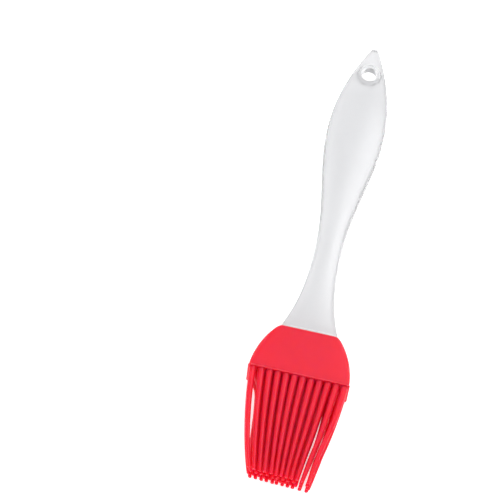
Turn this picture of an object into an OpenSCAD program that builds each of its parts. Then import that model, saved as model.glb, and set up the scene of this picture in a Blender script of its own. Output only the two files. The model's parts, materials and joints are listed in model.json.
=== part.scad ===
// Silicone pastry brush: a clear moulded handle pushed into a one-piece silicone head.
// X runs across the brush, +Y runs from the bristle tips to the handle tip, +Z is up.
// The origin is under the middle of the brush, which lies on the back of its head.

/* [Overall] */
// Length from the bristle tips to the handle tip
overall_length = 176; // [165:1:185]
// Thickness of the head at its bristle face, back face to front face
head_t = 12; // [11.8:0.1:13]

/* [Head] */
// Width of the sleeve at its bristle face, where it is widest
head_w = 34; // [33.8:0.1:36]
// Length of the sleeve from its bristle face to the handle shoulder
sleeve_length = 17.75; // [17:0.25:22]
// Width of the sleeve's straight end at the handle
sleeve_end_w = 20.9; // [20.6:0.1:23]
// Thickness of the sleeve's end at the handle
sleeve_end_t = 9.7; // [9.6:0.1:10.6]
// Length of the flat part of the sleeve's front and back, before they draw in to the end
sleeve_flat = 4; // [3:0.5:8]
// Radius of the soft rounding along the sleeve's sides
side_round = 1.5; // [1.2:0.1:2.2]
// Silicone left between the socket's floor and the bristle face
root_block = 5; // [4:0.1:7]

/* [Bristles] */
// Free length of a bristle in front of the sleeve
bristle_length = 36.25; // [30:0.25:40]
// Bristles in each of the two fuller rows
bristles_across = 12; // [11:1:12]
// Spacing across a row at the roots
root_pitch = 2.8; // [2.7:0.01:2.84]
// Spacing across a row at the tips
tip_pitch = 1.86; // [1.85:0.01:2.1]
// Spacing from row to row at the roots
row_root_pitch = 3; // [2.8:0.05:3.05]
// Spacing from row to row at the tips
row_tip_pitch = 2.4; // [2.2:0.05:2.6]
// Bristle diameter at the root
bristle_root_d = 2; // [1.8:0.05:2.05]
// Bristle diameter at the tip
bristle_tip_d = 1.28; // [1.2:0.02:1.4]

/* [Handle] */
// Width of the handle at its shoulder, where it meets the sleeve
shoulder_w = 20; // [18:0.1:20.4]
// Width of the handle where it is narrowest, behind the head
neck_w = 9.3; // [8:0.1:11]
// Width of the handle at the widest part of the grip
grip_w = 20.3; // [18:0.1:23]
// Thickness of the handle at its shoulder
shoulder_t = 9.2; // [8.5:0.1:9.4]
// Thickness of the handle at the neck
neck_t = 6.4; // [5.5:0.1:7]
// Thickness of the handle at the grip
grip_t = 7; // [6:0.1:8]
// Thickness of the handle at its tip
tip_t = 2.4; // [2:0.1:3.2]

/* [Hanging hole] */
// Diameter of the hanging hole
hole_d = 5.6; // [5:0.1:6]
// Distance from the hole's centre to the handle tip
hole_from_tip = 11.6; // [11:0.1:14]
// Width of the flat rim round the hole
hole_rim_w = 0.9; // [0.6:0.1:1.1]
// Thickness of the rim, which is sunk below both faces of the handle
hole_rim_t = 3; // [2.4:0.1:3.3]

/* [Tang] */
// Width of the tang at its gripping ribs
tang_w = 16.8; // [14:0.1:17]
// Thickness of the tang at its gripping ribs
tang_t = 6.6; // [5:0.1:6.8]
// Number of gripping ribs round the tang
rib_count = 4; // [3:1:4]

/* [Fits] */
// Gap all round the tang in its socket
socket_gap = 0.05; // [0.02:0.01:0.08]
// Gap between the tang's free end and the socket's floor
socket_end_gap = 0.4; // [0.2:0.1:1]
// Gap round each bristle's root ball in its cup
root_gap = 0.05; // [0.02:0.01:0.08]

/* [Hidden] */
$fn = 64;
eps = 0.02;

// Stations along the brush
tip_y = -overall_length / 2;
face_y = tip_y + bristle_length;
shoulder_y = face_y + sleeve_length;
end_y = overall_length / 2;
neck_from_shoulder = 35;
grip_from_neck = 49.5;
neck_y = shoulder_y + neck_from_shoulder;
grip_y = neck_y + grip_from_neck;
hole_y = end_y - hole_from_tip;
mid_z = head_t / 2;

// Sleeve outline: each side is one arc, square to the bristle face and drawn in to the end
side_in = (head_w - sleeve_end_w) / 2;
side_r = (pow(sleeve_length, 2) + pow(side_in, 2)) / (2 * side_in);
end_drop = (head_t - sleeve_end_t) / 2;
socket_depth = sleeve_length - root_block;
tang_length = socket_depth - socket_end_gap;

// Bristle roots: the ball's centre stands in front of the face by this share of its radius,
// so that it can swing
root_lift_share = 0.64;
row_names = ["a", "b", "c", "d"];
row_count = len(row_names);
root_r = bristle_root_d / 2;
tip_r = bristle_tip_d / 2;
root_y = face_y - root_lift_share * root_r;

// Handle sections
stations_neck = 16;
stations_grip = 14;
stations_tip = 16;
section_steps = 14;
shoulder_power = 3;
neck_power = 2.2;
shoulder_edge_t = 5.6;
neck_edge_t = 2.6;
grip_edge_t = 2.2;
tip_edge_t = 1.2;
tip_reach = 1.08;
flare_power = 2.6;
taper_power = 1.1;

// Tang: height of a rib over the core, and the ribs' share of the tang's length
rib_h = 0.6;
rib_share = 0.45;

function in_row(row) = bristles_across - row % 2;
function root_x(row, k) = (k - (in_row(row) - 1) / 2) * root_pitch;
function tip_x(row, k) = (k - (in_row(row) - 1) / 2) * tip_pitch;
function row_z(row, pitch) = mid_z + ((row_count - 1) / 2 - row) * pitch;
function bristle_name(row, k) = str("bristle_", row_names[row], "_", k + 1);

// Easing used along the handle: 1 at the shoulder falling to 0 at the neck, 0 to 1 up to
// the grip, and 1 falling towards 0 at the tip
function flare(y) = pow(1 - (y - shoulder_y) / (neck_y - shoulder_y), flare_power);
function swell(y) = (1 - cos(180 * (y - neck_y) / (grip_y - neck_y))) / 2;
function taper(y) = pow(1 - pow((y - grip_y) / ((end_y - grip_y) * tip_reach), 2), taper_power);

// A value along the handle that passes through its shoulder, neck, grip and tip amounts
function along(y, at_shoulder, at_neck, at_grip, at_tip) =
    y < neck_y ? at_neck + (at_shoulder - at_neck) * flare(y)
    : y < grip_y ? at_neck + (at_grip - at_neck) * swell(y)
    : at_tip + (at_grip - at_tip) * taper(y);

function handle_half_w(y) = along(y, shoulder_w, neck_w, grip_w, 0) / 2;
function handle_t(y) = along(y, shoulder_t, neck_t, grip_t, tip_t);
function handle_edge_t(y) = along(y, shoulder_edge_t, neck_edge_t, grip_edge_t, tip_edge_t);

// Power of the crown's curve: 2 is an ellipse, and it grows boxier towards the shoulder
function crown_power(y) = along(y, shoulder_power, neck_power, 2, 2);
function bend(value, power) = sign(value) * pow(abs(value), 2 / power);

// One side of a section: a blunt upright edge joined by a crowned curve
function crown(y, a) =
    handle_edge_t(y) / 2 + (handle_t(y) - handle_edge_t(y)) / 2 * bend(sin(a), crown_power(y));
function section_half(y, side) = [
    for (i = [0 : section_steps])
        let (a = 180 * i / section_steps)
            [side * handle_half_w(y) * bend(cos(a), crown_power(y)), y, mid_z + side * crown(y, a)]
];
function section(y) = concat(section_half(y, 1), section_half(y, -1));

function stretch(from, to, steps) = [for (i = [0 : steps - 1]) from + (to - from) * i / steps];
handle_stations = concat(
    stretch(shoulder_y, neck_y, stations_neck),
    stretch(neck_y, grip_y, stations_grip),
    [for (i = [0 : stations_tip]) grip_y + (end_y - grip_y) * sin(90 * i / stations_tip)]
);

// Skin over rings of equal point count, closed at both ends
module loft(rings) {
    n = len(rings[0]);
    last = len(rings) - 1;
    sides = [
        for (j = [0 : last - 1]) for (i = [0 : n - 1])
            [j * n + i, j * n + (i + 1) % n, (j + 1) * n + (i + 1) % n, (j + 1) * n + i]
    ];
    first_cap = [for (i = [n - 1 : -1 : 0]) i];
    last_cap = [for (i = [0 : n - 1]) last * n + i];
    polyhedron(
        points = [for (ring = rings) each ring],
        faces = concat([first_cap], sides, [last_cap]),
        convexity = 4
    );
}

// A block centred across the brush and on its mid-plane, running from one Y to another
module mid_block(w, from_y, to_y, t) {
    translate([-w / 2, from_y, mid_z - t / 2])
        cube([w, to_y - from_y, t]);
}

// Tang: a slimmer core with a lead-in tongue and gripping ribs
module tang() {
    rib_step = tang_length / rib_count;
    rib_w = rib_step * rib_share;
    mid_block(tang_w - 2 * rib_h, shoulder_y - tang_length, shoulder_y + eps, tang_t - 2 * rib_h);
    for (i = [0 : rib_count - 1]) {
        rib_end = shoulder_y - i * rib_step;
        mid_block(tang_w, rib_end - rib_w, rib_end + (i == 0 ? eps : 0), tang_t);
    }
}

module handle() {
    color([0.92, 0.93, 0.94, 0.55])
    difference() {
        union() {
            loft([for (y = handle_stations) section(y)]);
            tang();
        }
        hanging_hole();
    }
}

// Hole with a flat spot face sunk into each side, which leaves a rim of even thickness
module hanging_hole() {
    spot_h = head_t / 2;
    translate([0, hole_y, -eps])
        cylinder(h = head_t, d = hole_d);
    for (side = [-1, 1])
        translate([0, hole_y, mid_z + side * (hole_rim_t + spot_h) / 2])
            cylinder(h = spot_h, d = hole_d + 2 * hole_rim_w, center = true);
}

// A disc of the head's thickness, level with the bristle face, whose rim is rounded
module soft_disc(r, x) {
    translate([x, face_y, 0])
        rotate_extrude()
            intersection() {
                union() {
                    square([r - side_round, head_t]);
                    translate([0, side_round])
                        square([r, head_t - 2 * side_round]);
                    for (z = [side_round, head_t - side_round])
                        translate([r - side_round, z])
                            circle(r = side_round);
                }
                square([r, head_t]);
            }
}

// Outline seen from the side: flat by the bristles, then drawn in evenly to the end
module side_profile() {
    w = head_w + 2;
    slope_y = face_y + sleeve_flat;
    translate([-w / 2, 0, 0])
        rotate([90, 0, 90])
            linear_extrude(w)
                polygon([
                    [face_y, 0],
                    [slope_y, 0],
                    [shoulder_y, end_drop],
                    [shoulder_y, head_t - end_drop],
                    [slope_y, head_t],
                    [face_y, head_t]
                ]);
}

module sleeve() {
    color([0.93, 0.22, 0.29])
    difference() {
        intersection() {
            soft_disc(side_r, head_w / 2 - side_r);
            soft_disc(side_r, side_r - head_w / 2);
            side_profile();
        }
        mid_block(
            tang_w + 2 * socket_gap,
            shoulder_y - socket_depth,
            shoulder_y + eps,
            tang_t + 2 * socket_gap
        );
        for (row = [0 : row_count - 1]) for (k = [0 : in_row(row) - 1])
            translate([root_x(row, k), root_y, row_z(row, row_root_pitch)])
                sphere(r = root_r + root_gap);
    }
}

// One bristle: a root ball, a tapering stem that leans in towards the tip, and a round tip
module bristle(row, k) {
    root = [root_x(row, k), root_y, row_z(row, row_root_pitch)];
    tip = [tip_x(row, k), tip_y + tip_r, row_z(row, row_tip_pitch)];
    run = tip - root;
    length = norm(run);
    color([0.95, 0.2, 0.28])
    translate(root)
        rotate([0, acos(run.z / length), atan2(run.y, run.x)]) {
            sphere(r = root_r);
            cylinder(h = length, r1 = root_r, r2 = tip_r);
            translate([0, 0, length])
                sphere(r = tip_r);
        }
}

handle();
sleeve();
for (row = [0 : row_count - 1]) for (k = [0 : in_row(row) - 1])
    bristle(row, k);
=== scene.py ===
"""Looks for the silicone pastry brush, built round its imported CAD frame.

The handle, the sleeve and every bristle are rebuilt here as smooth meshes in the places that
the frame gives, and each replaces its CAD node. Shapes are worked out in millimetres: x across
the brush, y towards the handle's tip and z up. The stage, lights and camera are in metres.
"""

import json
import math
import random

import bmesh
import bpy
import numpy as np
from mathutils import Matrix, Quaternion, Vector


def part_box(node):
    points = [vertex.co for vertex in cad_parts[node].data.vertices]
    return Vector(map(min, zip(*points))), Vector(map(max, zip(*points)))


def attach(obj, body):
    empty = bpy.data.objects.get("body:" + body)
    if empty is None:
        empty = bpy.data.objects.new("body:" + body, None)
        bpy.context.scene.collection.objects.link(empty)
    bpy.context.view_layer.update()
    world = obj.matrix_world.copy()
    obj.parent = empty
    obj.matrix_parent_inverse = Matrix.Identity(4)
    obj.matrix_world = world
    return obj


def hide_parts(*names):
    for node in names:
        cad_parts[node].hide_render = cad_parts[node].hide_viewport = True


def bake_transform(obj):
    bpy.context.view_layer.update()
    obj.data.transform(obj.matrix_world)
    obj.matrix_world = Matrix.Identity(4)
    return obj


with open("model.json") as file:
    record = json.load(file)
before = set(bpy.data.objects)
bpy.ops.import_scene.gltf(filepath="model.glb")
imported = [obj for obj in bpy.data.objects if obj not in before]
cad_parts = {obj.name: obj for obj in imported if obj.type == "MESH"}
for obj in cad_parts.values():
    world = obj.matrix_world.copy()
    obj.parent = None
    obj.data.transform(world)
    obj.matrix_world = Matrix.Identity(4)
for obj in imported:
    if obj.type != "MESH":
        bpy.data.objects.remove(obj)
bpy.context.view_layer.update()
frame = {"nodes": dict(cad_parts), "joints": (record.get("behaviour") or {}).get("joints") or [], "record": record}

MM = 0.001
SEED = 11
ROWS = "abcd"


# ---------------------------------------------------------------- places, from the frame


def box_mm(node):
    low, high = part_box(node)
    return np.array(low) / MM, np.array(high) / MM


def mount(name):
    return next(m for m in frame["record"]["mounts"] if m["name"] == name)


def joint(name):
    return next(j for j in frame["joints"] if j["name"] == name)


sleeve_low, sleeve_high = box_mm("sleeve")
handle_low, handle_high = box_mm("handle")
FACE_Y = sleeve_low[1]
SHOULDER_Y = sleeve_high[1]
END_Y = handle_high[1]
TANG_Y = handle_low[1]
HEAD_T = sleeve_high[2] - sleeve_low[2]
HEAD_W = sleeve_high[0] - sleeve_low[0]
MID_Z = (sleeve_low[2] + sleeve_high[2]) / 2
HOLE_Y = mount("hanging_hole")["pos_m"][1] / MM
HOLE_R = mount("hanging_hole")["dims"]["r_mm"]
RIM_T = mount("hanging_hole")["dims"]["length_mm"]

# Parting line of the mouldings: a fine ridge round the mid-plane
SEAM_HALF_W, SEAM_H = 0.12, 0.05


# ---------------------------------------------------------------- mesh helpers


def new_object(name, vertices, faces, material):
    """A smooth-shaded mesh object from points in millimetres, with its faces turned outwards."""
    mesh = bpy.data.meshes.new(name)
    mesh.from_pydata([tuple(v * MM for v in p) for p in vertices], [], faces)
    bm = bmesh.new()
    bm.from_mesh(mesh)
    bmesh.ops.recalc_face_normals(bm, faces=bm.faces)
    bm.to_mesh(mesh)
    bm.free()
    mesh.shade_smooth()
    mesh.materials.append(material)
    obj = bpy.data.objects.new(name, mesh)
    bpy.context.scene.collection.objects.link(obj)
    return obj


def join(faces, ring_a, ring_b):
    """Adds a band of faces between two rings of vertex numbers."""
    n = len(ring_a)
    for i in range(n):
        k = (i + 1) % n
        faces.append([ring_a[i], ring_a[k], ring_b[k], ring_b[i]])


def skin(rings):
    """Points and faces of a surface over rings of equal length, closed by a face at each end."""
    n = len(rings[0])
    points = [p for ring in rings for p in ring]
    loops = [list(range(j * n, (j + 1) * n)) for j in range(len(rings))]
    faces = [loops[0]]
    for near, far in zip(loops, loops[1:]):
        join(faces, near, far)
    faces.append(loops[-1])
    return points, faces


def store(piece, name, value_of):
    """Stores a number on each point of a piece, for its material to read."""
    attribute = piece.data.attributes.new(name, "FLOAT", "POINT")
    for vertex, item in zip(piece.data.vertices, attribute.data):
        item.value = value_of(vertex)


def fillet(radius, steps=4):
    """(travel, inset) pairs for a quarter-round edge, from its face to its side."""
    turns = [math.pi / 2 * i / steps for i in range(steps)]
    return [(radius * (1 - math.cos(a)), radius * (1 - math.sin(a))) for a in turns]


def ease(t):
    """A smooth step from 0 to 1 as t goes from 0 to 1."""
    t = min(max(t, 0.0), 1.0)
    return t * t * (3 - 2 * t)


def mix(a, b, t):
    return a + (b - a) * t


# ---------------------------------------------------------------- handle

NECK_FROM_SHOULDER, GRIP_FROM_NECK = 35, 49.5
NECK_Y = SHOULDER_Y + NECK_FROM_SHOULDER
GRIP_Y = NECK_Y + GRIP_FROM_NECK

# The section at each place: width, thickness, height of the flat edge, and roundness of the crown
SHOULDER_W, NECK_W, GRIP_W = 20.0, 9.3, 20.3
SHOULDER_T, NECK_T, GRIP_T, TIP_T = 9.2, 6.4, 7.0, 2.4
SHOULDER_EDGE, NECK_EDGE, GRIP_EDGE, TIP_EDGE = 5.6, 2.6, 2.2, 1.2
SHOULDER_POWER, NECK_POWER, GRIP_POWER = 3.0, 2.2, 2.0
FLARE_POWER, TAPER_POWER = 2.6, 1.1
TIP_REACH = 1.08  # the grip's taper would close at this share of its length, past the tip
TIP_CORNER = 0.8
LEAST_EDGE = 0.2

SHOULDER_GAP = 0.05
SHOULDER_FILLET = 0.45
TIP_FILLET = 0.35

TANG_W, TANG_T = 16.8, 6.6
TANG_CORNER, TANG_POWER = 0.6, 5.0  # how much lower its flat edges are, and its roundness
TANG_RIBS = 4
TANG_SLOPE = 0.5  # length of the tang's rounded end, and of the slope behind each rib
RIB_H, RIB_RAMP = 0.6, 0.1
RIB_FROM = 0.55  # share of the ribs' spacing that lies before each rib

# A section's ring: steps over its top or its bottom, points down each side, points in all, and
# the place of the bottom's first point
TOP_STEPS = 48
SIDE_POINTS = 7
RING = 2 * (TOP_STEPS + 1) + 2 * SIDE_POINTS
BOTTOM = TOP_STEPS + 1 + SIDE_POINTS
BODY_ROWS, WINDOW_ROWS, TIP_ROWS = 130, 18, 22  # sections before, across and past the hole

# Hanging hole: a window is cut in each face and filled by rings down to the hole's wall
HOLE_WINDOW = 4.2
WINDOW_FROM, WINDOW_TO = TOP_STEPS // 4, TOP_STEPS - TOP_STEPS // 4
WINDOW_SHARES = (0.25, 0.5, 0.75)
SLACK = 1e-6
RIM_W = 0.9
RIM_OUT = HOLE_R + RIM_W
RIM_FILLET, RIM_FILLET_STEPS = 0.28, 5
# Step down to the sunk rim: distance outside RIM_OUT, and share of the face's height there
RIM_STEP = [(0.30, 1.0), (0.18, 0.8), (0.06, 0.2), (-0.06, 0.0), (-0.4, 0.0)]

# Steep walls, whose normals rise less than POLISH_BELOW, are polished; the faces are frosted
POLISH = "polish"
POLISH_BELOW, POLISH_FADE = 0.55, 0.3


def along(y, at_shoulder, at_neck, at_grip, at_tip):
    """A value that eases from the shoulder to the neck, the grip and the tip."""
    if y < NECK_Y:
        flare = (1 - (y - SHOULDER_Y) / (NECK_Y - SHOULDER_Y)) ** FLARE_POWER
        return mix(at_neck, at_shoulder, flare)
    if y < GRIP_Y:
        swell = (1 - math.cos(math.pi * (y - NECK_Y) / (GRIP_Y - NECK_Y))) / 2
        return mix(at_neck, at_grip, swell)
    run = (y - GRIP_Y) / ((END_Y - GRIP_Y) * TIP_REACH)
    return mix(at_tip, at_grip, (1 - run**2) ** TAPER_POWER)


def handle_size(y):
    """Half width, thickness, edge height and corner power of the handle's section."""
    past = max(y - (END_Y - TIP_CORNER), 0)
    rounding = TIP_CORNER - math.sqrt(TIP_CORNER**2 - past**2)
    return (
        along(y, SHOULDER_W, NECK_W, GRIP_W, 0) / 2 - rounding,
        along(y, SHOULDER_T, NECK_T, GRIP_T, TIP_T),
        along(y, SHOULDER_EDGE, NECK_EDGE, GRIP_EDGE, TIP_EDGE),
        along(y, SHOULDER_POWER, NECK_POWER, GRIP_POWER, GRIP_POWER),
    )


def section(y, half_w, thick, edge, power):
    """Ring of points: crowned top from right to left, left edge, bottom, then right edge."""
    top = []
    for i in range(TOP_STEPS + 1):
        a = math.pi * i / TOP_STEPS
        c, s = math.cos(a), math.sin(a)
        x = half_w * math.copysign(abs(c) ** (2 / power), c)
        top.append((x, edge / 2 + (thick - edge) / 2 * abs(s) ** (2 / power)))
    # The flat side has even steps, and the parting line's ridge at its middle
    seam = min(SEAM_HALF_W, edge / 8)
    heights = (edge / 3, edge / 6, seam, 0, -seam, -edge / 6, -edge / 3)
    side = [(0 if z else SEAM_H, z) for z in heights]
    flat = top + [(-half_w - out, z) for out, z in side]
    flat += [(-x, -z) for x, z in top] + [(half_w + out, -z) for out, z in side]
    return [(x, y, MID_Z + z) for x, z in flat]


def inset(size, d):
    """A section's size drawn in by d all round."""
    half_w, thick, edge, power = size
    return half_w - d, thick - 2 * d, max(edge - 2 * d, LEAST_EDGE), power


def tang_rings():
    """The tang with its gripping ribs, from its free end to the shoulder."""
    core_t = TANG_T - 2 * RIB_H
    core = (TANG_W / 2 - RIB_H, core_t, core_t - TANG_CORNER, TANG_POWER)
    rib = (TANG_W / 2, TANG_T, TANG_T - TANG_CORNER, TANG_POWER)
    step = (SHOULDER_Y - TANG_Y) / TANG_RIBS
    rings = [section(TANG_Y, *inset(core, TANG_SLOPE))]
    for i in range(TANG_RIBS):
        start = TANG_Y + i * step
        rib_start = start + step * RIB_FROM
        rings.append(section(start + TANG_SLOPE, *core))
        rings.append(section(rib_start - RIB_RAMP, *core))
        rings.append(section(rib_start + RIB_RAMP, *rib))
        rings.append(section(start + step - (RIB_RAMP if i < TANG_RIBS - 1 else 0), *rib))
    return rings


def body_stations():
    """Stations from the shoulder to the tip, with even rows across the hanging hole."""
    near, far = HOLE_Y - HOLE_WINDOW, HOLE_Y + HOLE_WINDOW
    start = SHOULDER_Y + SHOULDER_GAP + SHOULDER_FILLET
    return (
        list(np.linspace(start, near, BODY_ROWS, endpoint=False))
        + list(np.linspace(near, far, WINDOW_ROWS, endpoint=False))
        + list(far + (END_Y - TIP_FILLET - far) * np.sin(np.linspace(0, math.pi / 2, TIP_ROWS)))
    )


def crown(x, y):
    """Height of the handle's top surface over its mid-plane."""
    half_w, thick, edge, power = handle_size(y)
    rise = max(0.0, 1 - abs(x / half_w) ** power) ** (1 / power)
    return edge / 2 + (thick - edge) / 2 * rise


def in_window(face, rows, columns):
    if len(face) != 4:
        return False
    return all(
        rows[0] <= v // RING <= rows[-1] and columns[0] <= v % RING <= columns[-1] for v in face
    )


def window_loop(rows, columns):
    """Vertices round the edge of a window of the skin, in order."""
    loop = [rows[0] * RING + c for c in columns]
    loop += [r * RING + columns[-1] for r in rows[1:]]
    loop += [rows[-1] * RING + c for c in columns[-2::-1]]
    loop += [r * RING + columns[0] for r in rows[-2:0:-1]]
    return loop


def hole_side(points, faces, edge_loop, side):
    """Fills one face's window down to the hole's wall and returns the last ring."""
    centre = np.array([0.0, HOLE_Y])
    spokes = []
    for v in edge_loop:
        p = np.array(points[v][:2])
        spokes.append((p, (p - centre) / np.linalg.norm(p - centre)))
    rings = []
    start_r = RIM_OUT + RIM_STEP[0][0]
    for t in WINDOW_SHARES:
        flat = [mix(p, centre + u * start_r, t) for p, u in spokes]
        rings.append([(q[0], q[1], crown(*q)) for q in flat])
    for grow, share in RIM_STEP:
        flat = [centre + u * (RIM_OUT + grow) for _, u in spokes]
        rings.append([(q[0], q[1], mix(RIM_T / 2, crown(*q), share)) for q in flat])
    for i in range(RIM_FILLET_STEPS + 1):
        a = math.pi / 2 * i / RIM_FILLET_STEPS
        r = HOLE_R + RIM_FILLET * (1 - math.sin(a))
        z = RIM_T / 2 - RIM_FILLET * (1 - math.cos(a))
        rings.append([(u[0] * r, HOLE_Y + u[1] * r, z) for _, u in spokes])
    previous = edge_loop
    for ring in rings:
        first = len(points)
        points.extend((x, y, MID_Z + side * z) for x, y, z in ring)
        current = list(range(first, first + len(ring)))
        join(faces, previous, current)
        previous = current
    return previous


def polish_at(vertex):
    return 1 - ease((abs(vertex.normal.z) - POLISH_BELOW) / POLISH_FADE)


def make_handle(material):
    """The whole handle as one skin from the tang to the tip, with the hole let into it."""
    rings = tang_rings()
    start = SHOULDER_Y + SHOULDER_GAP
    for travel, d in fillet(SHOULDER_FILLET):
        rings.append(section(start + travel, *inset(handle_size(start + travel), d)))
    first_body = len(rings)
    stations = body_stations()
    rings += [section(y, *handle_size(y)) for y in stations]
    for travel, d in reversed(fillet(TIP_FILLET)):
        y = END_Y - travel
        rings.append(section(y, *inset(handle_size(y), d)))
    points, faces = skin(rings)

    rows = [
        first_body + j for j, y in enumerate(stations) if abs(y - HOLE_Y) <= HOLE_WINDOW + SLACK
    ]
    top = list(range(WINDOW_FROM, WINDOW_TO + 1))
    bottom = [BOTTOM + i for i in top]
    faces = [f for f in faces if not in_window(f, rows, top) and not in_window(f, rows, bottom)]
    top_wall = hole_side(points, faces, window_loop(rows, top), 1)
    bottom_wall = hole_side(points, faces, window_loop(rows, bottom[::-1]), -1)
    join(faces, top_wall, bottom_wall)
    handle = new_object("clear_handle", points, faces, material)
    store(handle, POLISH, polish_at)
    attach(handle, "handle")
    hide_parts("handle")


# ---------------------------------------------------------------- sleeve

# Outline: each side is one arc, square to the bristle face and drawn in to the handle's end
SLEEVE_END_W, SLEEVE_END_T = 20.9, 9.7
SIDE_IN = (HEAD_W - SLEEVE_END_W) / 2
SIDE_R = ((SHOULDER_Y - FACE_Y) ** 2 + SIDE_IN**2) / (2 * SIDE_IN)

# Rounding between the flat faces and the sides; the middle one holds between two shares of the
# sleeve's length
MOUTH_ROUND, MIDDLE_ROUND, END_ROUND = 0.55, 1.6, 1.4
MIDDLE_ROUND_FROM, MIDDLE_ROUND_TO = 0.4, 0.6

CORNER_RUN, CORNER_IN = 1.4, 0.3  # the sides are drawn in a little more near the handle
BEAD_RUN, BEAD_H = 0.9, 0.26
END_FILLET, END_FILLET_STEPS = 0.5, 5
MOUTH_FILLET, MOUTH_FILLET_STEPS = 0.25, 6
MOUTH_ZONE = 1.5
FACE_INSET = 0.1
SOCKET_GAP, SOCKET_CORNER = 0.06, 0.35
SOCKET_PAST_TANG = 0.4

CORNERS = np.array([(1, 1), (-1, 1), (-1, -1), (1, -1)])
CORNER_STEPS = 9
FLAT_STEPS = 12
SLEEVE_ROWS, MOUTH_ROWS = 40, 12

# Painted highlight along the rounded edge round the mouth, a paler band in place of its sheen: where it starts and
# ends from the face
LIP_HIGHLIGHT = "lip"
LIP_HIGHLIGHT_FROM, LIP_HIGHLIGHT_TO = 0.05, 0.65


def direction(degrees):
    turn = math.radians(degrees)
    return np.array([math.cos(turn), math.sin(turn)])


def rounded_ring(y, half_w, half_t, radius, seam=0.0):
    """Rounded rectangle across the brush, as a ring of points that starts at its right side."""
    radius = min(radius, half_w, half_t)
    centres = CORNERS * np.array([half_w - radius, half_t - radius])
    ring = []
    for quarter, centre in enumerate(centres):
        turn = 90 * quarter
        for i in range(CORNER_STEPS + 1):
            ring.append(centre + radius * direction(turn + 90 * i / CORNER_STEPS))
        start = ring[-1]
        if quarter % 2:
            ring += seamed_side(start[0], start[1], seam)
        else:
            target = centres[quarter + 1] + radius * direction(turn + 90)
            ring += [mix(start, target, i / FLAT_STEPS) for i in range(1, FLAT_STEPS)]
    return [(x, y, MID_Z + z) for x, z in ring]


def seamed_side(x, z, seam):
    """Points down an upright side of the sleeve, with the parting line at its middle."""
    fine = min(SEAM_HALF_W, abs(z) / 4) / abs(z)
    shares = (0.6, 0.3, fine, 0.0, -fine, -0.3, -0.6)
    return [np.array([x + (math.copysign(seam, x) if s == 0 else 0), z * s]) for s in shares]


def sleeve_size(y):
    """Half width, half thickness and side rounding of the sleeve, with the bead at its mouth."""
    bead = BEAD_H * (ease(1 - (y - FACE_Y) / BEAD_RUN) - 1)
    half_w = HEAD_W / 2 - SIDE_R + math.sqrt(SIDE_R**2 - (y - FACE_Y) ** 2)
    half_w += bead + BEAD_H / 2 - CORNER_IN * max(1 - (SHOULDER_Y - y) / CORNER_RUN, 0) ** 2
    t = (y - FACE_Y) / (SHOULDER_Y - FACE_Y)
    half_t = mix(HEAD_T, SLEEVE_END_T, t) / 2 + bead * (1 - t)
    rounding = mix(MOUTH_ROUND, MIDDLE_ROUND, ease(t / MIDDLE_ROUND_FROM))
    rounding = mix(rounding, END_ROUND, ease((t - MIDDLE_ROUND_TO) / (1 - MIDDLE_ROUND_TO)))
    return half_w, half_t, rounding


def lip_highlight_at(vertex):
    """How near a point is to the middle of the painted highlight along the edge round the mouth."""
    share = (vertex.co.y / MM - FACE_Y - LIP_HIGHLIGHT_FROM) / (LIP_HIGHLIGHT_TO - LIP_HIGHLIGHT_FROM)
    return math.sin(math.pi * share) if 0 < share < 1 else 0.0


def make_sleeve(material):
    """One skin from the socket's floor, out over the handle's end and down to the mouth."""
    socket = (TANG_W / 2 + SOCKET_GAP, TANG_T / 2 + SOCKET_GAP, SOCKET_CORNER)
    socket_floor = TANG_Y - SOCKET_PAST_TANG
    rings = [rounded_ring(socket_floor, *socket), rounded_ring(SHOULDER_Y, *socket)]
    for travel, d in fillet(END_FILLET, END_FILLET_STEPS):
        half_w, half_t, r = sleeve_size(SHOULDER_Y - travel)
        rings.append(rounded_ring(SHOULDER_Y - travel, half_w - d, half_t - d, r - d))
    block_start, mouth_start = SHOULDER_Y - END_FILLET, FACE_Y + MOUTH_ZONE
    stations = list(np.linspace(block_start, mouth_start, SLEEVE_ROWS, endpoint=False))
    stations += list(np.linspace(mouth_start, FACE_Y + MOUTH_FILLET, MOUTH_ROWS))
    rings += [rounded_ring(y, *sleeve_size(y), SEAM_H) for y in stations]
    half_w, half_t, r = sleeve_size(FACE_Y)
    mouth = [*reversed(fillet(MOUTH_FILLET, MOUTH_FILLET_STEPS)), (0.0, MOUTH_FILLET + FACE_INSET)]
    for travel, d in mouth:
        corner = max(r - d, FACE_INSET)
        rings.append(rounded_ring(FACE_Y + travel, half_w - d, half_t - d, corner))
    points, faces = skin(rings)
    sleeve = new_object("silicone_sleeve", points, faces, material)
    # The mask of the painted highlight along the mouth's edge
    store(sleeve, LIP_HIGHLIGHT, lip_highlight_at)
    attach(sleeve, "head")
    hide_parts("sleeve")


# ---------------------------------------------------------------- bristles

ROUND_STEPS = 16
STEM_STEPS = 26
EMBED = 0.9  # how far each stem starts inside the sleeve

# Thickness: SWELL is added to the CAD root's radius, and a small fillet meets the sleeve
TIP_R = 0.6
SWELL = 0.12
ROOT_FLARE, ROOT_FLARE_RUN = 0.03, 0.7

# Round tip: its length as a share of its radius, and the rings that close it. The quarter turn
# is cut by a little more than the number of rings, so the last ring keeps some width.
CAP_SHARE, CAP_POWER = 0.6, 0.6
CAP_RINGS, CAP_DIVISOR = 5, 5.3

# Trimmed ends: a random cut, a slant across the brush, and a shorter first bristle
TRIM = (0.15, 0.4)
TIP_SLANT, LEFT_TRIM = 0.35, 0.15

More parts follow.
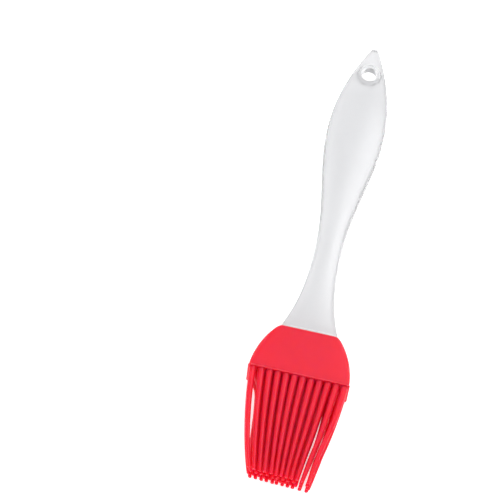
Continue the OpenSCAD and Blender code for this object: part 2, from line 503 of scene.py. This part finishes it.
# Sideways drift from the straight CAD line. Names that end in LAG or IN are drifts back towards
# the middle or the left, and here those that end in FROM or RUN are shares of the bristle's length.
ROOT_SHIFT = 0.15
LEAN, LEAN_POWER = 0.9, 1.5
SWAY, SWAY_RUN = 0.35, 0.65  # the right half of each row bows to the right
LEFT_BOW, RIGHT_BOW, BOW_POWER = 0.8, 0.26, 0.6  # the end bristles of the full rows bow outwards
LEFT_TIP_IN, RIGHT_TIP_IN = 0.45, 0.6
RIGHT_TIP_IN_FROM = 0.5
END_A_IN, END_A_FROM, END_A_RUN = 0.5, 0.35, 0.8  # the last bristle of row a bends back inwards
LAG, LEFT_LAG = 0.2, 0.12  # the middles hang to the left, apart from a row's last two bristles

# The first bristle of each shorter row is tucked in, out of the white slit beside it
LEFT_TUCK = 1.15
TUCK_RUN, TUCK_OUT_FROM, TUCK_OUT_RUN = 0.15, 0.2, 0.6

# The bristles beside the two right-hand slits, by row and number from 0: how far each moves to the
# right at its middle and at its tip
RIGHT_TUCKS = {
    ("a", 10): (0.12, 0.0),
    ("b", 9): (1.1, 0.6),
    ("b", 10): (0.75, 0.85),
    ("c", 10): (-0.1, -0.35),
    ("d", 9): (0.6, 0.45),
    ("d", 10): (0.35, 0.85),
}
TIP_TUCK_FROM = 0.7

# Random strays of each bristle: at its tip sideways, at its middle sideways, at its tip upwards
STRAY_TIP, STRAY_BOW, STRAY_UP = 0.09, 0.06, 0.08


def bristle_line(node, row):
    """Root centre, its radius and tip centre, from the CAD bristle's box and its row's hinge."""
    low, high = box_mm(node)
    hinge = np.array(joint(f"row_{row}_flex")["pos_m"]) / MM
    root_r = high[1] - hinge[1]
    side = 1 if high[0] + low[0] >= 0 else -1
    outer, inner = (high, low) if side > 0 else (low, high)
    up = 1 if hinge[2] > MID_Z else -1
    tip_z = (low if up > 0 else high)[2]
    root = np.array([outer[0] - side * root_r, hinge[1], hinge[2]])
    tip = np.array([inner[0] + side * TIP_R, low[1], tip_z + up * TIP_R])
    return root, root_r, tip


def later(s, start):
    """An ease from 0 at a share of the length to 1 at its end."""
    return ease((s - start) / (1 - start))


def sideways(row, k, count, s):
    """How far bristle k of a row strays to the right at a share s of its length."""
    middle = math.sin(math.pi * min(s, 1))
    to_right = max(2 * k / (count - 1) - 1, 0)
    to_left = max(1 - 2 * k / (count - 1), 0)
    dx = ROOT_SHIFT + LEAN * s**LEAN_POWER
    dx += SWAY * to_right * math.sin(math.pi * min(s / SWAY_RUN, 1))
    full_row = row in "ac"
    if full_row and k == 0:
        return dx + LEFT_TIP_IN * s**3 - LEFT_BOW * bow(s)
    if full_row and k == count - 1:
        dx += RIGHT_BOW * bow(s) - RIGHT_TIP_IN / 2 * s**3
        if row == "a":
            dx -= END_A_IN * math.sin(math.pi * min(max((s - END_A_FROM) / END_A_RUN, 0), 1))
        return dx
    if k == 0:
        return dx + LEFT_TUCK * ease(s / TUCK_RUN) * (1 - ease((s - TUCK_OUT_FROM) / TUCK_OUT_RUN))
    dx -= RIGHT_TIP_IN * min(to_right * 2, 1) * later(s, RIGHT_TIP_IN_FROM)
    if k < count - 2:
        dx -= (LAG + LEFT_LAG * to_left) * middle
    middle_tuck, tip_tuck = RIGHT_TUCKS.get((row, k), (0, 0))
    return dx + middle_tuck * middle + tip_tuck * later(s, TIP_TUCK_FROM)


def bow(s):
    return math.sin(math.pi * min(s, 1)) ** BOW_POWER if 0 < s < 1 else 0.0


def stem_radius(s, root_r, length):
    """The stem tapers evenly, with a small moulded fillet where it leaves the sleeve."""
    share = max(s, 0)
    flare = ROOT_FLARE * math.exp(-share * length / ROOT_FLARE_RUN)
    return mix(root_r + SWELL, TIP_R, share) + flare


def make_bristle(row, k, count, material, rng):
    """A bristle that stays in the sleeve at its root and curves sideways towards its tip."""
    node = f"bristle_{row}_{k + 1}"
    root, root_r, tip = bristle_line(node, row)
    stray_tip, stray_bow, stray_up = (rng.uniform(-d, d) for d in (STRAY_TIP, STRAY_BOW, STRAY_UP))
    trim = rng.uniform(*TRIM) + TIP_SLANT * (1 - 2 * k / (count - 1)) + (LEFT_TRIM if k == 0 else 0)
    length = root[1] - tip[1] - trim

    def ring(s, radius):
        share = max(s, 0)
        dx = sideways(row, k, count, share) + stray_tip * share**2 + stray_bow * bow(share)
        x = mix(root[0], tip[0], share) + dx
        y = root[1] - s * length
        z = mix(root[2], tip[2], share) + stray_up * share**2
        turns = [2 * math.pi * i / ROUND_STEPS for i in range(ROUND_STEPS)]
        return [(x + radius * math.cos(a), y, z + radius * math.sin(a)) for a in turns]

    cap = TIP_R * CAP_SHARE / length
    stem = [-EMBED / length] + [i / STEM_STEPS for i in range(STEM_STEPS + 1)]
    stem = [s for s in stem if s < 1 - cap] + [1 - cap]
    rings = [ring(s, stem_radius(s, root_r, length)) for s in stem]
    for i in range(1, CAP_RINGS + 1):
        a = math.pi / 2 * i / CAP_DIVISOR
        rings.append(ring(1 - cap * (1 - math.sin(a)), TIP_R * math.cos(a) ** CAP_POWER))
    points, faces = skin(rings)
    bristle = new_object(f"{node}_silicone", points, faces, material)
    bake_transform(bristle)
    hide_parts(node)


def make_bristles(material):
    rng = random.Random(SEED)
    for row in ROWS:
        count = sum(1 for n in frame["nodes"] if n.startswith(f"bristle_{row}_"))
        for k in range(count):
            make_bristle(row, k, count, material, rng)


# ---------------------------------------------------------------- materials

# Base colours: the two ends of each material's faint mottling, and the painted highlight along the silicone's
# mouth edge
SILICONE = (0.82, 0.003, 0.031), (0.86, 0.006, 0.042)
# Painted highlight: the pale pink given to the lit edge round the mouth
PAINTED_LIP_HIGHLIGHT = (1.0, 0.06, 0.10, 1)
CLEAR = (0.75, 0.753, 0.766), (0.785, 0.787, 0.798)
PAPER = (0.90, 0.90, 0.90), (0.92, 0.92, 0.92)

POLISHED_ROUGHNESS = 0.12


def new_material(name):
    material = bpy.data.materials.new(name)
    material.use_nodes = True
    nodes = material.node_tree.nodes
    return material, nodes, material.node_tree.links, nodes["Principled BSDF"]


def noise(nodes, links, scale, detail, roughness=0.5):
    """Noise fixed to the object's own shape, with its scale in cycles per metre."""
    place = nodes.new("ShaderNodeTexCoord")
    texture = nodes.new("ShaderNodeTexNoise")
    texture.inputs["Scale"].default_value = scale
    texture.inputs["Detail"].default_value = detail
    texture.inputs["Roughness"].default_value = roughness
    links.new(place.outputs["Object"], texture.inputs["Vector"])
    return texture.outputs["Fac"]


def ramp(nodes, links, value, low, high):
    """Maps a 0 to 1 value onto a range of numbers."""
    span = nodes.new("ShaderNodeMapRange")
    span.inputs["To Min"].default_value = low
    span.inputs["To Max"].default_value = high
    links.new(value, span.inputs["Value"])
    return span.outputs["Result"]


def colour_ramp(nodes, links, value, low, high):
    """Maps a 0 to 1 value onto a range between two colours."""
    blend = nodes.new("ShaderNodeMix")
    blend.data_type = "RGBA"
    blend.inputs["A"].default_value = (*low, 1)
    blend.inputs["B"].default_value = (*high, 1)
    links.new(value, blend.inputs["Factor"])
    return blend.outputs["Result"]


def bump(nodes, links, height, distance, strength):
    node = nodes.new("ShaderNodeBump")
    node.inputs["Distance"].default_value = distance
    node.inputs["Strength"].default_value = strength
    links.new(height, node.inputs["Height"])
    return node.outputs["Normal"]


def stored(nodes, name):
    """A number stored on the points of the mesh."""
    reader = nodes.new("ShaderNodeAttribute")
    reader.attribute_name = name
    return reader.outputs["Fac"]


def silicone_material():
    """Satin red silicone: slightly translucent, with a faint moulded grain and a painted highlight along the
    mouth's edge.
    """
    material, nodes, links, shader = new_material("red_silicone")
    cloud = noise(nodes, links, scale=90, detail=3)
    grain = noise(nodes, links, scale=2600, detail=4, roughness=0.6)
    body = colour_ramp(nodes, links, cloud, *SILICONE)
    # Painted highlight: the base colour turns pale pink along the mouth's edge, following the stored mask
    edge = nodes.new("ShaderNodeMix")
    edge.data_type = "RGBA"
    links.new(body, edge.inputs["A"])
    edge.inputs["B"].default_value = PAINTED_LIP_HIGHLIGHT
    links.new(stored(nodes, LIP_HIGHLIGHT), edge.inputs["Factor"])
    links.new(edge.outputs["Result"], shader.inputs["Base Color"])
    links.new(ramp(nodes, links, grain, low=0.40, high=0.52), shader.inputs["Roughness"])
    links.new(
        bump(nodes, links, grain, distance=0.00004, strength=0.35), shader.inputs["Normal"]
    )
    shader.inputs["Subsurface Weight"].default_value = 1.0
    shader.inputs["Subsurface Radius"].default_value = (1.0, 0.06, 0.05)
    shader.inputs["Subsurface Scale"].default_value = 0.003
    shader.inputs["Specular IOR Level"].default_value = 0.5
    shader.inputs["IOR"].default_value = 1.42
    return material


def clear_material():
    """Clear plastic with a frosted skin on its faces and polished edges."""
    material, nodes, links, shader = new_material("frosted_clear_plastic")
    cloud = noise(nodes, links, scale=60, detail=3)
    grain = noise(nodes, links, scale=6000, detail=3, roughness=0.6)
    links.new(colour_ramp(nodes, links, cloud, *CLEAR), shader.inputs["Base Color"])
    frost = nodes.new("ShaderNodeMapRange")
    frost.inputs["To Max"].default_value = POLISHED_ROUGHNESS
    links.new(stored(nodes, POLISH), frost.inputs["Value"])
    links.new(ramp(nodes, links, grain, low=0.24, high=0.34), frost.inputs["To Min"])
    links.new(frost.outputs["Result"], shader.inputs["Roughness"])
    links.new(bump(nodes, links, grain, distance=0.00001, strength=0.1), shader.inputs["Normal"])
    shader.inputs["IOR"].default_value = 1.5
    shader.inputs["Transmission Weight"].default_value = 0.85
    return material


def floor_material():
    """White paper that glows a little, so that it stays white in the picture."""
    material, nodes, links, shader = new_material("pale_floor")
    cloud = noise(nodes, links, scale=12, detail=2)
    links.new(colour_ramp(nodes, links, cloud, *PAPER), shader.inputs["Base Color"])
    shader.inputs["Roughness"].default_value = 0.9
    shader.inputs["Specular IOR Level"].default_value = 0.1
    shader.inputs["Emission Color"].default_value = (1, 1, 1, 1)
    shader.inputs["Emission Strength"].default_value = 0.55
    return material


# ---------------------------------------------------------------- stage, light, camera

FLOOR_HALF = 3.0
FLOOR_DROP = 0.00002

# Soft boxes, all aimed at the origin: place, size, power in watts and roll in degrees
LIGHTS = {
    "right_box": ((0.537, 0.678, 1.01), (1.1, 0.35), 9, 46),
    "left_box": ((-0.72, 0.62, 0.78), (0.55, 0.8), 3.5, 0),
    "front_box": ((-0.07, -0.75, 0.9), (1.2, 1.0), 10, 0),
}

# The room's own light at the horizon and overhead, and how steeply up overhead starts (1 is
# straight up)
HORIZON_LIGHT, OVERHEAD_LIGHT = 0.42, 0.1
OVERHEAD_FROM = 0.75

CAMERA_AIM = Vector((-26.2, -5.6, 6.0)) * MM
CAMERA_AZIMUTH, CAMERA_ELEVATION, CAMERA_ROLL = 6.7, 59.13, 6.58
CAMERA_DISTANCE = 0.7198
CAMERA_LENS, CAMERA_SENSOR = 151.15, 36


def make_floor():
    h = FLOOR_HALF
    mesh = bpy.data.meshes.new("floor")
    mesh.from_pydata([(-h, -h, 0), (h, -h, 0), (h, h, 0), (-h, h, 0)], [], [(0, 1, 2, 3)])
    mesh.materials.append(floor_material())
    floor = bpy.data.objects.new("floor", mesh)
    bpy.context.scene.collection.objects.link(floor)
    floor.location.z = -FLOOR_DROP


def area_light(name, place, size, power, roll):
    data = bpy.data.lights.new(name, "AREA")
    data.shape = "RECTANGLE"
    data.size, data.size_y = size
    data.energy = power
    light = bpy.data.objects.new(name, data)
    light.location = place
    light.rotation_mode = "QUATERNION"
    turn = (-Vector(place)).to_track_quat("-Z", "Y")
    light.rotation_quaternion = turn @ Quaternion((0, 0, 1), math.radians(roll))
    bpy.context.scene.collection.objects.link(light)


def make_world():
    """A white room that is brighter round the horizon than overhead."""
    world = bpy.data.worlds.new("white_room")
    world.use_nodes = True
    nodes, links = world.node_tree.nodes, world.node_tree.links
    place = nodes.new("ShaderNodeTexCoord")
    axes = nodes.new("ShaderNodeSeparateXYZ")
    links.new(place.outputs["Generated"], axes.inputs["Vector"])
    up = nodes.new("ShaderNodeMapRange")
    up.inputs["From Min"].default_value = 0.0
    up.inputs["From Max"].default_value = OVERHEAD_FROM
    up.inputs["To Min"].default_value = HORIZON_LIGHT
    up.inputs["To Max"].default_value = OVERHEAD_LIGHT
    links.new(axes.outputs["Z"], up.inputs["Value"])
    links.new(up.outputs["Result"], nodes["Background"].inputs["Strength"])
    nodes["Background"].inputs["Color"].default_value = (1, 1, 1, 1)
    bpy.context.scene.world = world


def make_camera():
    """The photograph's view: from above the bristles' end, a little to the right."""
    a, e = math.radians(CAMERA_AZIMUTH), math.radians(CAMERA_ELEVATION)
    back = Vector((math.sin(a) * math.cos(e), -math.cos(a) * math.cos(e), math.sin(e)))
    data = bpy.data.cameras.new("camera")
    data.sensor_width = CAMERA_SENSOR
    data.lens = CAMERA_LENS
    camera = bpy.data.objects.new("camera", data)
    turn = (-back).to_track_quat("-Z", "Y").to_matrix().to_4x4()
    roll = Matrix.Rotation(math.radians(CAMERA_ROLL), 4, "Z")
    camera.matrix_world = Matrix.Translation(CAMERA_AIM + back * CAMERA_DISTANCE) @ turn @ roll
    bpy.context.scene.collection.objects.link(camera)
    bpy.context.scene.camera = camera


make_handle(clear_material())
silicone = silicone_material()
make_sleeve(silicone)
make_bristles(silicone)
make_floor()
make_world()
for light_name, (place, size, power, roll) in LIGHTS.items():
    area_light(light_name, place, size, power, roll)
make_camera()
bpy.context.scene.view_settings.view_transform = "Standard"
